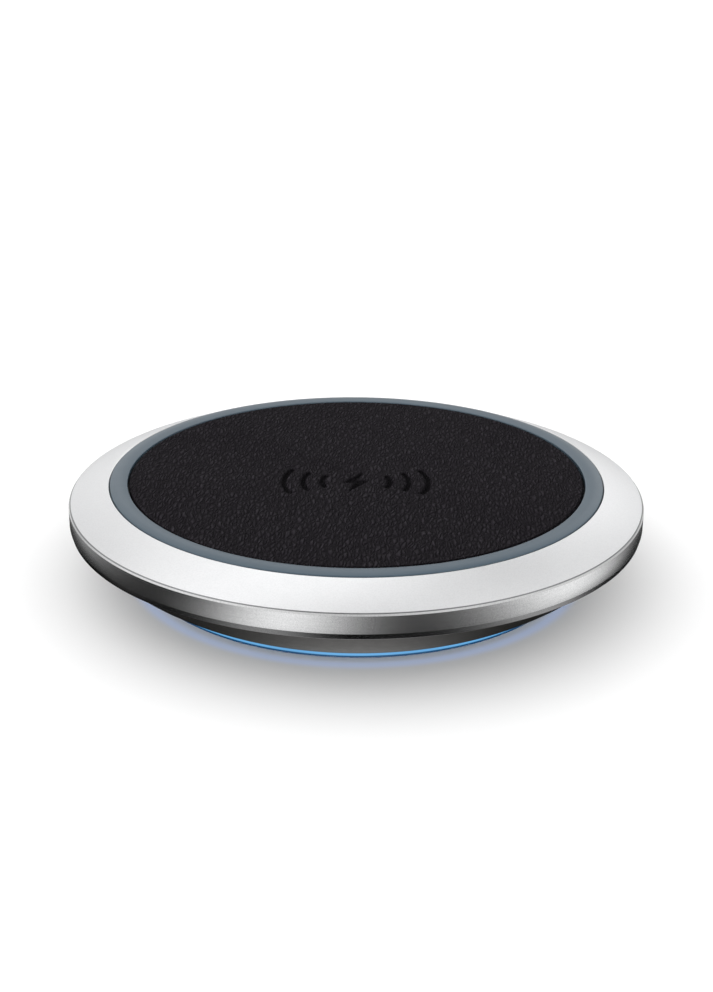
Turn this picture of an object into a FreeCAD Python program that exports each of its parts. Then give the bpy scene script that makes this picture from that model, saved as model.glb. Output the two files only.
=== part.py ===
"""Round wireless charging pad, millimetres, +Z up.

The origin is the centre of the foot ring's underside, on the surface that the pad stands on.
The charging port faces +Y and the front of the pad faces -Y.
Every sub-part is one function that returns a shape, and PARTS names the file of each.
"""
import FreeCAD
import Part
import math
import os

# Outer shape: radii, and heights above the surface that the pad stands on.
OUTER_R = 50.0
LEATHER_R = 39.6
LEATHER_TOP = 16.75
GRIP_IN_R = 39.85
GRIP_OUT_R = 42.9
GRIP_TOP = 16.9
GRIP_EDGE_TOP = 16.6
BEZEL_IN_R = 43.0
BEZEL_IN_TOP = 16.58
BEZEL_EDGE_R = OUTER_R - 0.25
BEZEL_EDGE_TOP = 13.92
BAND_TOP = 13.57
BAND_BOTTOM = 10.65
LIP_R = OUTER_R - 0.25
LIP_BOTTOM = 9.7
NECK_R = 46.5
DISH_TOP_R = 48.15
DISH_TOP = 9.0
DISH_FOOT_R = 38.2
DISH_FOOT = 1.3
DISH_EDGE = 8.92        # where the bowl ends and its short upright rim begins
DISH_FOOT_SLOPE = 0.52  # the bowl's rise over run at its foot; it steepens upwards
GUIDE_BOTTOM = 0.5
BASE_BOTTOM = 0.45

# Walls, films and small gaps.
DISH_WALL = 1.8
BEZEL_WALL = 1.58
BAND_WALL = 1.6
FILM = 0.15
SLIP = 0.05
HOUSING_TOP = 15.7
HOUSING_UNDER = 14.3
GRIP_SEAT = 15.2
BASE_TOP = 1.65
DISH_STEP = 7.8
DISH_STEP_R = NECK_R + 0.1
FLANGE_IN_R = 35.5

# Foot ring and light ring.
FOOT_IN_R = 31.8
FOOT_OUT_R = 35.9
FOOT_SEAT = 1.05
BASE_R = 36.8
GUIDE_IN_R = 34.6
GUIDE_FLANGE_R = 37.6
GUIDE_TOP = 2.5
LED_COUNT = 12
LED_STRIP_IN_R = 31.9
LED_STRIP_TOP = 1.8

# Charging coil stack, from the housing downwards.
COIL_IN_R = 10.5
COIL_TURNS = 10
COIL_PITCH = 1.15
COIL_TOP = HOUSING_UNDER - 0.2
COIL_BOTTOM = 12.9
FERRITE_R = 25.5
FERRITE_BOTTOM = 11.3
SPREADER_R = 26.0
SPREADER_BOTTOM = 10.5
CENTRE_HOLE_R = 2.0
LEAD_R = 0.55
LEAD_DROP_X = 27.2
LEAD_BEND_R = 1.2

# Circuit board.
BOARD_R = 33.0
BOARD_BOTTOM = 6.35
BOARD_TOP = 7.35
BOARD_TAB_X = 8.0
BOARD_TAB_Y = 37.7
STANDOFF_R = 2.2
STANDOFF_AT_R = 24.0
STANDOFF_ANGLES = (30, 150, 270)
CHIP_AT = (0.0, 9.0)
CHIP_W = 7.0
CHIP_H = 0.9

# Charging port, a USB-C receptacle at the back of a pocket for the plug's body.
PORT_Z = 4.75
PORT_W = 8.94
PORT_H = 3.2
PORT_DEPTH = 7.35
PORT_WALL = 0.3
POCKET_Y = 39.1
POCKET_HALF_W = 6.4
POCKET_TOP = 8.0
POCKET_WALL = 1.2
CONTACTS_PER_SIDE = 12
CONTACT_PITCH = 0.5

# Screws that hold the case and the board.
SCREW_AT_R = 28.5
SCREW_ANGLES = (45, 135, 225, 315)
SCREW_R = 1.0
SCREW_HEAD_R = 1.95
SCREW_HEAD_H = 1.2
CUP_R = 3.2
CUP_TOP = 3.0
CASE_SCREW_TOP = 10.0


def lathe(points):
    """One solid, turned round Z from a closed outline of (radius, height) points."""
    corners = [FreeCAD.Vector(r, 0, z) for r, z in points]
    face = Part.Face(Part.makePolygon(corners + corners[:1]))
    return face.revolve(FreeCAD.Vector(0, 0, 0), FreeCAD.Vector(0, 0, 1), 360)


def ring(inner_r, outer_r, bottom, top):
    """A flat ring, or a disc where inner_r is 0."""
    return lathe([(inner_r, bottom), (outer_r, bottom), (outer_r, top), (inner_r, top)])


def post(x, y, bottom, top, radius):
    """An upright round post."""
    return Part.makeCylinder(radius, top - bottom, FreeCAD.Vector(x, y, bottom))


def block(x, y, bottom, size_x, size_y, size_z):
    """A box that is centred on x and y."""
    corner = FreeCAD.Vector(x - size_x / 2, y - size_y / 2, bottom)
    return Part.makeBox(size_x, size_y, size_z, corner)


def around(radius, angles):
    """The (x, y) places at these angles, in degrees, on a circle."""
    turned = [math.radians(a) for a in angles]
    return [(radius * math.cos(a), radius * math.sin(a)) for a in turned]


def slot_bar(width, height, front, back):
    """A bar along Y with a rounded slot section, centred on the port's axis."""
    half, round_r = width / 2 - height / 2, height / 2
    middle = block(0, (front + back) / 2, PORT_Z - round_r, 2 * half, back - front, height)
    along = FreeCAD.Vector(0, 1, 0)
    for side in (-1, 1):
        centre = FreeCAD.Vector(side * half, front, PORT_Z)
        middle = middle.fuse(Part.makeCylinder(round_r, back - front, centre, along))
    return middle.removeSplitter()


def dish_inside(height):
    """Inner radius of the dish's wall: the straight line from foot to rim, moved in by the wall."""
    run, rise = DISH_TOP_R - DISH_FOOT_R, DISH_TOP - DISH_FOOT
    return DISH_FOOT_R + (height - DISH_FOOT) * run / rise - DISH_WALL * math.hypot(run, rise) / rise


def bezel_line(radius, depth=0.0):
    """The height of the bezel's sloping face at a radius, less a depth below it."""
    fall = (BEZEL_IN_TOP - BEZEL_EDGE_TOP) / (BEZEL_EDGE_R - BEZEL_IN_R)
    return BEZEL_IN_TOP - (radius - BEZEL_IN_R) * fall - depth


def leather_pad():
    soft = 0.2
    bottom = HOUSING_TOP + FILM
    return lathe([
        (0, bottom), (LEATHER_R, bottom), (LEATHER_R, LEATHER_TOP - soft),
        (LEATHER_R - soft, LEATHER_TOP), (0, LEATHER_TOP),
    ])


def leather_adhesive():
    return ring(0, LEATHER_R - 0.3, HOUSING_TOP, HOUSING_TOP + FILM)


def grip_ring():
    """The rubber ring that a phone rests on; its top is a low crown."""
    crown_r = (GRIP_IN_R + GRIP_OUT_R) / 2
    corners = [
        (GRIP_IN_R, GRIP_EDGE_TOP), (GRIP_IN_R, GRIP_SEAT),
        (GRIP_OUT_R, GRIP_SEAT), (GRIP_OUT_R, GRIP_EDGE_TOP),
    ]
    points = [FreeCAD.Vector(r, 0, z) for r, z in corners]
    crown = Part.Arc(points[-1], FreeCAD.Vector(crown_r, 0, GRIP_TOP), points[0]).toShape()
    face = Part.Face(Part.Wire(Part.makePolygon(points).Edges + [crown]))
    return face.revolve(FreeCAD.Vector(0, 0, 0), FreeCAD.Vector(0, 0, 1), 360)


def bezel_ring():
    band_in_r = OUTER_R - BAND_WALL
    return lathe([
        (BEZEL_IN_R, BEZEL_IN_TOP), (BEZEL_EDGE_R, BEZEL_EDGE_TOP), (OUTER_R, BAND_TOP),
        (OUTER_R, BAND_BOTTOM), (LIP_R, LIP_BOTTOM), (band_in_r, LIP_BOTTOM),
        (band_in_r, bezel_line(band_in_r, BEZEL_WALL)), (BEZEL_IN_R, bezel_line(BEZEL_IN_R, BEZEL_WALL)),
    ])


def bezel_adhesive():
    upper, lower = BEZEL_WALL, BEZEL_WALL + FILM
    return lathe([
        (BEZEL_IN_R, bezel_line(BEZEL_IN_R, upper)), (NECK_R, bezel_line(NECK_R, upper)),
        (NECK_R, bezel_line(NECK_R, lower)), (BEZEL_IN_R, bezel_line(BEZEL_IN_R, lower)),
    ])


def upper_housing():
    """Top plate, sloping shoulder under the bezel, neck, lip behind the band and screw posts."""
    under_bezel = BEZEL_WALL + FILM
    neck_in_r = NECK_R - 1.5
    lip_r = OUTER_R - BAND_WALL - SLIP
    lip_bottom = LIP_BOTTOM + 0.2
    body = lathe([
        (0, HOUSING_UNDER), (0, HOUSING_TOP), (GRIP_IN_R - 0.15, HOUSING_TOP), (GRIP_IN_R - 0.15, GRIP_SEAT),
        (BEZEL_IN_R, GRIP_SEAT), (BEZEL_IN_R, bezel_line(BEZEL_IN_R, under_bezel)),
        (NECK_R, bezel_line(NECK_R, under_bezel)), (NECK_R, lip_bottom + 1.0), (lip_r, lip_bottom + 1.0),
        (lip_r, lip_bottom), (NECK_R, lip_bottom), (NECK_R, DISH_STEP), (neck_in_r, DISH_STEP),
        (neck_in_r, bezel_line(neck_in_r, under_bezel + 1.4)), (41.5, HOUSING_UNDER),
    ])
    for x, y in around(SCREW_AT_R, SCREW_ANGLES):
        body = body.fuse(post(x, y, CUP_TOP, HOUSING_UNDER + 0.5, 2.3))
    for x, y in around(SCREW_AT_R, SCREW_ANGLES):
        body = body.cut(post(x, y, CUP_TOP, CASE_SCREW_TOP + 0.5, SCREW_R + SLIP))
    gap_w = 2 * (POCKET_HALF_W + POCKET_WALL + 0.2)
    port_gap = block(0, 45, DISH_STEP - 1, gap_w, 10, DISH_TOP + SLIP + 1 - DISH_STEP)
    return body.cut(port_gap).removeSplitter()


def coil_adhesive():
    coil_out_r = COIL_IN_R + COIL_TURNS * COIL_PITCH
    return ring(COIL_IN_R - 0.2, coil_out_r + 0.2, COIL_TOP, HOUSING_UNDER)


def transmitter_coil():
    """Flat spiral winding, as one ring with a ridge for each turn above and below."""
    groove, flat = 0.3, 0.2 * COIL_PITCH
    upper, lower = [(COIL_IN_R, COIL_TOP - groove)], [(COIL_IN_R, COIL_BOTTOM + groove)]
    for turn in range(COIL_TURNS):
        middle = COIL_IN_R + COIL_PITCH * (turn + 0.5)
        edge = COIL_IN_R + COIL_PITCH * (turn + 1)
        upper += [(middle - flat, COIL_TOP), (middle + flat, COIL_TOP), (edge, COIL_TOP - groove)]
        lower += [(middle - flat, COIL_BOTTOM), (middle + flat, COIL_BOTTOM), (edge, COIL_BOTTOM + groove)]
    return lathe(upper + lower[::-1])


def lead(start_x, y, z):
    """One round wire that runs out along X, bends down and ends on the board."""
    bend_x, bend_z = LEAD_DROP_X - LEAD_BEND_R, z - LEAD_BEND_R
    turned = LEAD_BEND_R * math.sqrt(0.5)
    start, bend = FreeCAD.Vector(start_x, y, z), FreeCAD.Vector(bend_x, y, z)
    middle = FreeCAD.Vector(bend_x + turned, y, bend_z + turned)
    drop, end = FreeCAD.Vector(LEAD_DROP_X, y, bend_z), FreeCAD.Vector(LEAD_DROP_X, y, BOARD_TOP)
    path = Part.Wire([
        Part.LineSegment(start, bend).toShape(),
        Part.Arc(bend, middle, drop).toShape(),
        Part.LineSegment(drop, end).toShape(),
    ])
    section = Part.Wire(Part.makeCircle(LEAD_R, start, FreeCAD.Vector(1, 0, 0)))
    return path.makePipeShell([section], True, True)


def coil_leads():
    """The inner turn's lead runs in the ferrite's slot, the outer turn's lead above it."""
    outer_y = 3.0
    coil_out_r = COIL_IN_R + COIL_TURNS * COIL_PITCH
    inner = lead(COIL_IN_R + COIL_PITCH / 2, 0, COIL_BOTTOM - LEAD_R)
    outer = lead(math.sqrt(coil_out_r ** 2 - outer_y ** 2), outer_y, (COIL_TOP + COIL_BOTTOM) / 2)
    return Part.makeCompound([inner, outer])


def ferrite_shield():
    disc = ring(CENTRE_HOLE_R, FERRITE_R, FERRITE_BOTTOM, COIL_BOTTOM)
    slot_x = (COIL_IN_R + FERRITE_R) / 2
    slot = block(slot_x, 0, FERRITE_BOTTOM - 1, FERRITE_R - COIL_IN_R + 2, 2 * LEAD_R + 0.4, 4)
    return disc.cut(slot)


def heat_spreader():
    return ring(CENTRE_HOLE_R, SPREADER_R, SPREADER_BOTTOM, FERRITE_BOTTOM)


def thermistor():
    """Temperature bead against the housing, with two leads down to the board."""
    bead_r, bead_bottom, lead_x = 1.3, 13.0, 0.7
    bead = post(0, 0, bead_bottom, HOUSING_UNDER, bead_r)
    leads = [post(side * lead_x, 0, BOARD_TOP, bead_bottom, 0.25) for side in (-1, 1)]
    return Part.makeCompound([bead] + leads)


def controller_chip():
    return block(*CHIP_AT, BOARD_TOP, CHIP_W, CHIP_W, CHIP_H)


def thermal_pad():
    """Soft block that carries the chip's heat to the spreader."""
    bottom = BOARD_TOP + CHIP_H
    return block(*CHIP_AT, bottom, 12.0, 11.0, SPREADER_BOTTOM - bottom)


def circuit_board():
    """Round board with a tab under the port, clear of the case's screw posts."""
    board = ring(0, BOARD_R, BOARD_BOTTOM, BOARD_TOP)
    tab_length = BOARD_TAB_Y - 25
    thickness = BOARD_TOP - BOARD_BOTTOM
    board = board.fuse(block(0, 25 + tab_length / 2, BOARD_BOTTOM, 2 * BOARD_TAB_X, tab_length, thickness))
    for x, y in around(SCREW_AT_R, SCREW_ANGLES):
        board = board.cut(post(x, y, BOARD_BOTTOM - 1, BOARD_TOP + 1, 2.8))
    for x, y in around(STANDOFF_AT_R, STANDOFF_ANGLES):
        board = board.cut(post(x, y, BOARD_BOTTOM - 1, BOARD_TOP + 1, SCREW_R + SLIP))
    return board.removeSplitter()


def power_transistors():
    places = [(x, y) for x in (-4.5, 4.5) for y in (-6.0, -14.0)]
    return Part.makeCompound([block(x, y, BOARD_TOP, 5.0, 6.0, 1.0) for x, y in places])


def resonant_capacitors():
    places = [(x, y) for x in (12.5, 17.5) for y in (-4.0, -9.0)]
    return Part.makeCompound([block(x, y, BOARD_TOP, 3.2, 4.5, 2.2) for x, y in places])


def filter_inductor():
    """Shielded power inductor under the board."""
    core = block(-13, -6, BOARD_BOTTOM - 3.0, 6.6, 6.6, 3.0)
    return core.makeChamfer(0.8, [e for e in core.Edges if abs(e.BoundBox.ZLength - 3.0) < 0.01])


def small_passives():
    """Two rows of small resistors and capacitors each side of the chip."""
    parts = []
    for column in (-16.0, -13.5, -11.0, 11.0, 13.5, 16.0):
        for row in (3.0, 5.5, 8.0, 10.5):
            parts.append(block(column, row, BOARD_TOP, 1.6, 0.8, 0.6))
    return Part.makeCompound(parts)


def usb_shell():
    """Receptacle's steel shell, open at its mouth."""
    mouth = POCKET_Y + 0.1
    outer = slot_bar(PORT_W, PORT_H, mouth - PORT_DEPTH, mouth)
    inner = slot_bar(PORT_W - 2 * PORT_WALL, PORT_H - 2 * PORT_WALL, mouth - PORT_DEPTH + 0.5, mouth + 1)
    return outer.cut(inner)


def usb_tongue():
    """Insulator at the back of the receptacle with the tongue that a plug goes over."""
    back, mouth = POCKET_Y + 0.1 - PORT_DEPTH + 0.5, POCKET_Y - 0.9
    tongue = block(0, (back + mouth) / 2, PORT_Z - 0.35, 6.7, mouth - back, 0.7)
    return tongue.fuse(slot_bar(PORT_W - 2 * PORT_WALL, PORT_H - 2 * PORT_WALL, back, back + 1.0))


def usb_contacts():
    """Flat contacts on both faces of the tongue."""
    length, thickness, width = 4.0, 0.06, 0.27
    middle_y = POCKET_Y - 1.3 - length / 2
    contacts = []
    for index in range(CONTACTS_PER_SIDE):
        x = (index - (CONTACTS_PER_SIDE - 1) / 2) * CONTACT_PITCH
        for bottom in (PORT_Z + 0.35, PORT_Z - 0.35 - thickness):
            contacts.append(block(x, middle_y, bottom, width, length, thickness))
    return Part.makeCompound(contacts)


def led_strip():
    return ring(LED_STRIP_IN_R, GUIDE_IN_R - 0.1, BASE_TOP, LED_STRIP_TOP)


def status_leds():
    """Side-firing lamps that face out into the light guide."""
    depth, width, height = 1.1, 1.8, 0.65
    lamp = block(GUIDE_IN_R - 0.1 - depth / 2, 0, LED_STRIP_TOP, depth, width, height)
    lamps = []
    for index in range(LED_COUNT):
        turned = lamp.copy()
        turned.rotate(FreeCAD.Vector(0, 0, 0), FreeCAD.Vector(0, 0, 1), 360 * (index + 0.5) / LED_COUNT)
        lamps.append(turned)
    return Part.makeCompound(lamps)


def led_wires():
    """Three wires from the lamp strip up to the board."""
    places = around(32.4, (207, 210, 213))
    return Part.makeCompound([post(x, y, LED_STRIP_TOP, BOARD_BOTTOM, 0.35) for x, y in places])


def light_guide():
    """Clear ring between the dish and the base plate; its outer edge is the line of light."""
    lip_in_r = BASE_R + 0.1
    return lathe([
        (lip_in_r, GUIDE_BOTTOM), (DISH_FOOT_R - 0.1, GUIDE_BOTTOM), (DISH_FOOT_R, GUIDE_BOTTOM + 0.1),
        (DISH_FOOT_R, DISH_FOOT), (GUIDE_FLANGE_R, DISH_FOOT), (GUIDE_FLANGE_R, GUIDE_TOP),
        (GUIDE_IN_R, GUIDE_TOP), (GUIDE_IN_R, BASE_TOP), (lip_in_r, BASE_TOP),
    ])


def bowl_outline(steps=6):
    """The dish's outer profile from its foot up to its rim, shallow at the foot and steeper above."""
    run = DISH_TOP_R - DISH_FOOT_R
    curve = (DISH_EDGE - DISH_FOOT - DISH_FOOT_SLOPE * run) / run ** 2
    outs = [run * step / steps for step in range(steps + 1)]
    return [(DISH_FOOT_R + out, DISH_FOOT + DISH_FOOT_SLOPE * out + curve * out ** 2) for out in outs]


def lower_shell():
    """Dish, open above and below, with a pocket for the plug at the back."""
    flange_top = 3.05
    recess_r = GUIDE_FLANGE_R + SLIP
    outside = bowl_outline() + [(DISH_TOP_R, DISH_TOP)]
    dish = lathe(outside + [
        (DISH_STEP_R, DISH_TOP), (DISH_STEP_R, DISH_STEP), (dish_inside(DISH_STEP), DISH_STEP),
        (dish_inside(flange_top), flange_top), (FLANGE_IN_R, flange_top),
        (FLANGE_IN_R, GUIDE_TOP), (recess_r, GUIDE_TOP), (recess_r, DISH_FOOT),
    ])
    filled = lathe([(0, DISH_FOOT)] + outside + [(0, DISH_TOP)])
    back = POCKET_Y - POCKET_WALL
    depth = OUTER_R - back
    walls_w = 2 * (POCKET_HALF_W + POCKET_WALL)
    walls = block(0, back + depth / 2, GUIDE_TOP, walls_w, depth, DISH_TOP - GUIDE_TOP)
    pocket = block(0, POCKET_Y + depth / 2, DISH_FOOT, 2 * POCKET_HALF_W, depth, POCKET_TOP - DISH_FOOT)
    mouth = slot_bar(PORT_W + 2 * SLIP, PORT_H + 2 * SLIP, back - 1, POCKET_Y + 1)
    return dish.fuse(walls.common(filled)).cut(pocket).cut(mouth).removeSplitter()


def base_plate():
    """Underside cover with the foot ring's groove, screw cups and board standoffs."""
    plate = ring(0, BASE_R, BASE_BOTTOM, BASE_TOP)
    plate = plate.cut(ring(FOOT_IN_R, FOOT_OUT_R, BASE_BOTTOM - 1, FOOT_SEAT))
    for x, y in around(SCREW_AT_R, SCREW_ANGLES):
        plate = plate.fuse(post(x, y, BASE_BOTTOM + 0.3, CUP_TOP, CUP_R))
    for x, y in around(STANDOFF_AT_R, STANDOFF_ANGLES):
        plate = plate.fuse(post(x, y, BASE_BOTTOM + 0.3, BOARD_BOTTOM, STANDOFF_R))
    for x, y in around(SCREW_AT_R, SCREW_ANGLES):
        plate = plate.cut(post(x, y, BASE_BOTTOM - 1, BASE_BOTTOM + 0.1 + SCREW_HEAD_H, SCREW_HEAD_R + 0.3))
        plate = plate.cut(post(x, y, BASE_BOTTOM - 1, CUP_TOP + 1, SCREW_R + 0.1))
    for x, y in around(STANDOFF_AT_R, STANDOFF_ANGLES):
        plate = plate.cut(post(x, y, BASE_TOP + 0.3, BOARD_BOTTOM + 1, SCREW_R + SLIP))
    return plate.removeSplitter()


def foot_ring():
    soft = 0.15
    return lathe([
        (FOOT_IN_R + soft, 0), (FOOT_OUT_R - soft, 0), (FOOT_OUT_R, soft), (FOOT_OUT_R, FOOT_SEAT),
        (FOOT_IN_R, FOOT_SEAT), (FOOT_IN_R, soft),
    ])


def screw(x, y, head_face, direction, tip):
    """A pan-head screw with a cross recess; direction is 1 where the shank points up."""
    seat = head_face + direction * SCREW_HEAD_H
    head = post(x, y, min(head_face, seat), max(head_face, seat), SCREW_HEAD_R)
    whole = head.fuse(post(x, y, min(seat, tip), max(seat, tip), SCREW_R))
    depth, width, length = 0.6, 0.5, 2.2
    bottom = min(head_face, head_face + direction * depth)
    for size_x, size_y in ((length, width), (width, length)):
        whole = whole.cut(block(x, y, bottom, size_x, size_y, depth))
    return whole.removeSplitter()


def case_screws():
    places = around(SCREW_AT_R, SCREW_ANGLES)
    return Part.makeCompound([screw(x, y, BASE_BOTTOM + 0.1, 1, CASE_SCREW_TOP) for x, y in places])


def board_screws():
    places = around(STANDOFF_AT_R, STANDOFF_ANGLES)
    head_face = BOARD_TOP + SCREW_HEAD_H
    return Part.makeCompound([screw(x, y, head_face, -1, BOARD_BOTTOM - 3.5) for x, y in places])


PARTS = (
    leather_pad, leather_adhesive, grip_ring, bezel_ring, bezel_adhesive, upper_housing, coil_adhesive,
    transmitter_coil, coil_leads, ferrite_shield, heat_spreader, thermistor, thermal_pad, circuit_board,
    controller_chip, power_transistors, resonant_capacitors, filter_inductor, small_passives, usb_shell,
    usb_tongue, usb_contacts, led_strip, status_leds, led_wires, light_guide, lower_shell, base_plate,
    foot_ring, case_screws, board_screws,
)

os.makedirs("parts", exist_ok=True)
for make in PARTS:
    shape = make()
    shape.exportStep("parts/" + make.__name__ + ".step")
    print(make.__name__, "solids", len(shape.Solids), "valid", shape.isValid(), "mm3", round(shape.Volume, 1))
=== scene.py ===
"""Looks of a round wireless charging pad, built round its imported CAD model. Metres, +Z up, front at -Y."""
import math

import bmesh
import bpy
import numpy as np
from mathutils import Matrix, Vector

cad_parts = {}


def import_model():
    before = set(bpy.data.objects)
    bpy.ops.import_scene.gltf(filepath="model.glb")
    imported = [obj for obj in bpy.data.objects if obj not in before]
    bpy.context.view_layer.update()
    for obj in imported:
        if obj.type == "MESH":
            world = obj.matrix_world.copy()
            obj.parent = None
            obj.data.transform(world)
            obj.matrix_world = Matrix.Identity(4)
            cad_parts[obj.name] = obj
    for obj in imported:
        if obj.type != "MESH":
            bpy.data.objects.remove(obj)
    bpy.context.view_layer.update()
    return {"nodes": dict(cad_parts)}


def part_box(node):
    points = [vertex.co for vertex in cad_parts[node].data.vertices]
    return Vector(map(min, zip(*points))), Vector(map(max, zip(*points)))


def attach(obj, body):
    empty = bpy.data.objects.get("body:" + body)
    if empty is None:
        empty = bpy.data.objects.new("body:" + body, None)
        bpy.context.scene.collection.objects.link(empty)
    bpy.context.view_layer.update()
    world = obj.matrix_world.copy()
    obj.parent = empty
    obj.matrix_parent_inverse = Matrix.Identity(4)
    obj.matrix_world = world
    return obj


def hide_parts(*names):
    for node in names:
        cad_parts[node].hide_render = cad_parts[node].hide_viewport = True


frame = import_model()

MM = 0.001
BODY = "root"
TURNS = 384                     # segments round every turned piece


def low_of(node, axis):
    """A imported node's lowest coordinate along an axis, in millimetres."""
    return getattr(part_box(node)[0], axis) / MM


def high_of(node, axis):
    """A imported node's highest coordinate along an axis, in millimetres."""
    return getattr(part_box(node)[1], axis) / MM


# Driving sizes in millimetres, read from the frame.
OUTER_R = round(high_of("bezel_ring", "x"), 1)
PAD_R = round(high_of("leather_pad", "x"), 1)
PAD_BOTTOM, PAD_TOP = low_of("leather_pad", "z"), high_of("leather_pad", "z")
GRIP_BOTTOM, GRIP_TOP = low_of("grip_ring", "z"), high_of("grip_ring", "z")
LIP_BOTTOM, BEZEL_TOP = low_of("bezel_ring", "z"), high_of("bezel_ring", "z")
DISH_FOOT, DISH_TOP = low_of("lower_shell", "z"), high_of("lower_shell", "z")
DISH_TOP_R = round(high_of("lower_shell", "x"), 2)
GUIDE_BOTTOM, GUIDE_TOP = low_of("light_guide", "z"), high_of("light_guide", "z")
GUIDE_R = round(high_of("light_guide", "x"), 1)
DISH_FOOT_R = GUIDE_R
PORT_W = round(high_of("usb_shell", "x") - low_of("usb_shell", "x"), 2)
PORT_H = round(high_of("usb_shell", "z") - low_of("usb_shell", "z"), 2)
PORT_Z = round((high_of("usb_shell", "z") + low_of("usb_shell", "z")) / 2, 2)

# Sizes in millimetres that no box gives.
HIDE_ROLL = 0.42                # radius of the hide's rolled edge
CREASE_DEPTH, MARK_DEPTH = 0.07, 0.26
GRIP_IN_R, GRIP_OUT_R = 39.85, 42.88
GRIP_CROWN = 0.3                # how far the grip ring's crown stands over its sides
GRIP_IN_SIDE, GRIP_OUT_SIDE = 0.16, 0.12    # widths of its two rounded sides
BEZEL_IN_R = 43.0
BEZEL_EDGE_R, BEZEL_EDGE_TOP = OUTER_R - 0.25, 13.92    # where the slope ends and the chamfer begins
BAND_TOP, BAND_BOTTOM, BAND_IN_R = 13.57, 10.65, OUTER_R - 1.6
BAND_IN_TOP, BEZEL_IN_BOTTOM = 12.87, 15.0      # ends of the bezel's sloping underside
LIP_R = OUTER_R - 0.25
DISH_SLOPE = 0.52               # rise over run of the bowl at its foot
DISH_STEP_Z, DISH_STEP_R = 7.8, 46.6
DISH_IN_R, DISH_IN_FOOT_R = 44.6, 38.3
FLANGE_TOP, FLANGE_IN_R = 3.05, 35.5
GUIDE_SEAT_R = 37.65
POCKET_Y, POCKET_HALF_W, POCKET_TOP, POCKET_WALL = 39.1, 6.4, 8.0, 1.2
POCKET_CORNER, POCKET_RIM_ROUND = 0.8, 0.16
PORT_PLAY = 0.05                # room round the receptacle
GUIDE_LINE = GUIDE_BOTTOM + 0.32    # the bright part of the light ring begins here
GUIDE_IN_R, GUIDE_STEP_Z = 36.9, 1.65
GUIDE_FLANGE_R, GUIDE_FLANGE_IN_R = 37.6, 34.6
COIL_TURNS, COIL_PITCH = 10, 1.15
HIDE_LEAN = math.radians(88)    # which way the leather's creases run, turned from +X towards +Y


# ---------------------------------------------------------------- node and material helpers

class Nodes:
    """Short calls that add nodes to a tree."""

    def __init__(self, tree):
        self.tree = tree

    def node(self, kind, settings=None, **inputs):
        """Adds a node; settings are its own properties, and inputs its sockets by name or number."""
        made = self.tree.nodes.new(kind)
        for key, value in (settings or {}).items():
            setattr(made, key, value)
        for key, value in inputs.items():
            socket = made.inputs[int(key[1:])] if key[0] == "_" else made.inputs[key.replace("_", " ")]
            if isinstance(value, bpy.types.NodeSocket):
                self.tree.links.new(value, socket)
            else:
                socket.default_value = value
        return made

    def math(self, operation, first, second=0.0):
        return self.node("ShaderNodeMath", {"operation": operation}, _0=first, _1=second).outputs[0]

    def between(self, value, low, high, from_low=0.0, from_high=1.0):
        """value carried from one range into another."""
        made = self.node("ShaderNodeMapRange", Value=value, _1=from_low, _2=from_high, _3=low, _4=high)
        return made.outputs[0]

    def attribute(self, name):
        """A number that the mesh carries at each point."""
        return self.node("ShaderNodeAttribute", {"attribute_name": name}).outputs["Fac"]


class Look(Nodes):
    """A material under construction: a Principled shader and the nodes that feed it."""

    def __init__(self, name, **values):
        self.material = bpy.data.materials.new(name)
        self.material.use_nodes = True
        super().__init__(self.material.node_tree)
        self.shader = self.tree.nodes["Principled BSDF"]
        self.coords = self.tree.nodes.new("ShaderNodeTexCoord").outputs["Object"]
        for socket, value in values.items():
            self.set(socket, value)

    def set(self, socket, value):
        """Sets or links one of the shader's sockets; underscores in its name stand for spaces."""
        target = self.shader.inputs[socket.replace("_", " ")]
        if isinstance(value, bpy.types.NodeSocket):
            self.tree.links.new(value, target)
        elif isinstance(value, tuple):
            target.default_value = (*value, 1.0)
        else:
            target.default_value = value

    def noise(self, scale, detail=3.0, rough=0.5, coords=None):
        made = self.node("ShaderNodeTexNoise", Vector=coords or self.coords, Scale=scale, Detail=detail,
                         Roughness=rough)
        return made.outputs["Fac"]

    def cells(self, scale, feature="F1", coords=None, randomness=1.0):
        made = self.node("ShaderNodeTexVoronoi", {"feature": feature}, Vector=coords or self.coords,
                         Scale=scale, Randomness=randomness)
        return made.outputs["Distance"]

    def blend(self, share, first, second):
        """A colour between two, by share."""
        made = self.node("ShaderNodeMix", {"data_type": "RGBA"}, _0=share)
        for socket, value in ((made.inputs[6], first), (made.inputs[7], second)):
            if isinstance(value, bpy.types.NodeSocket):
                self.tree.links.new(value, socket)
            else:
                socket.default_value = (*value, 1.0)
        return made.outputs[2]

    def bump(self, height, distance, strength):
        """Adds relief from a height of 0 to 1; distance is the depth that it stands for, in metres."""
        made = self.node("ShaderNodeBump", Height=height, Distance=distance, Strength=strength)
        self.set("Normal", made.outputs[0])

    def round_axis(self):
        """(angle about Z in radians, radius, height) as three sockets, in metres."""
        parts = self.node("ShaderNodeSeparateXYZ", Vector=self.coords)
        x, y, z = parts.outputs
        angle = self.math("ARCTAN2", y, x)
        radius = self.math("SQRT", self.math("ADD", self.math("MULTIPLY", x, x), self.math("MULTIPLY", y, y)))
        return angle, radius, z

    def vector(self, x, y, z):
        return self.node("ShaderNodeCombineXYZ", X=x, Y=y, Z=z).outputs[0]


# ---------------------------------------------------------------- mesh helpers

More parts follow.
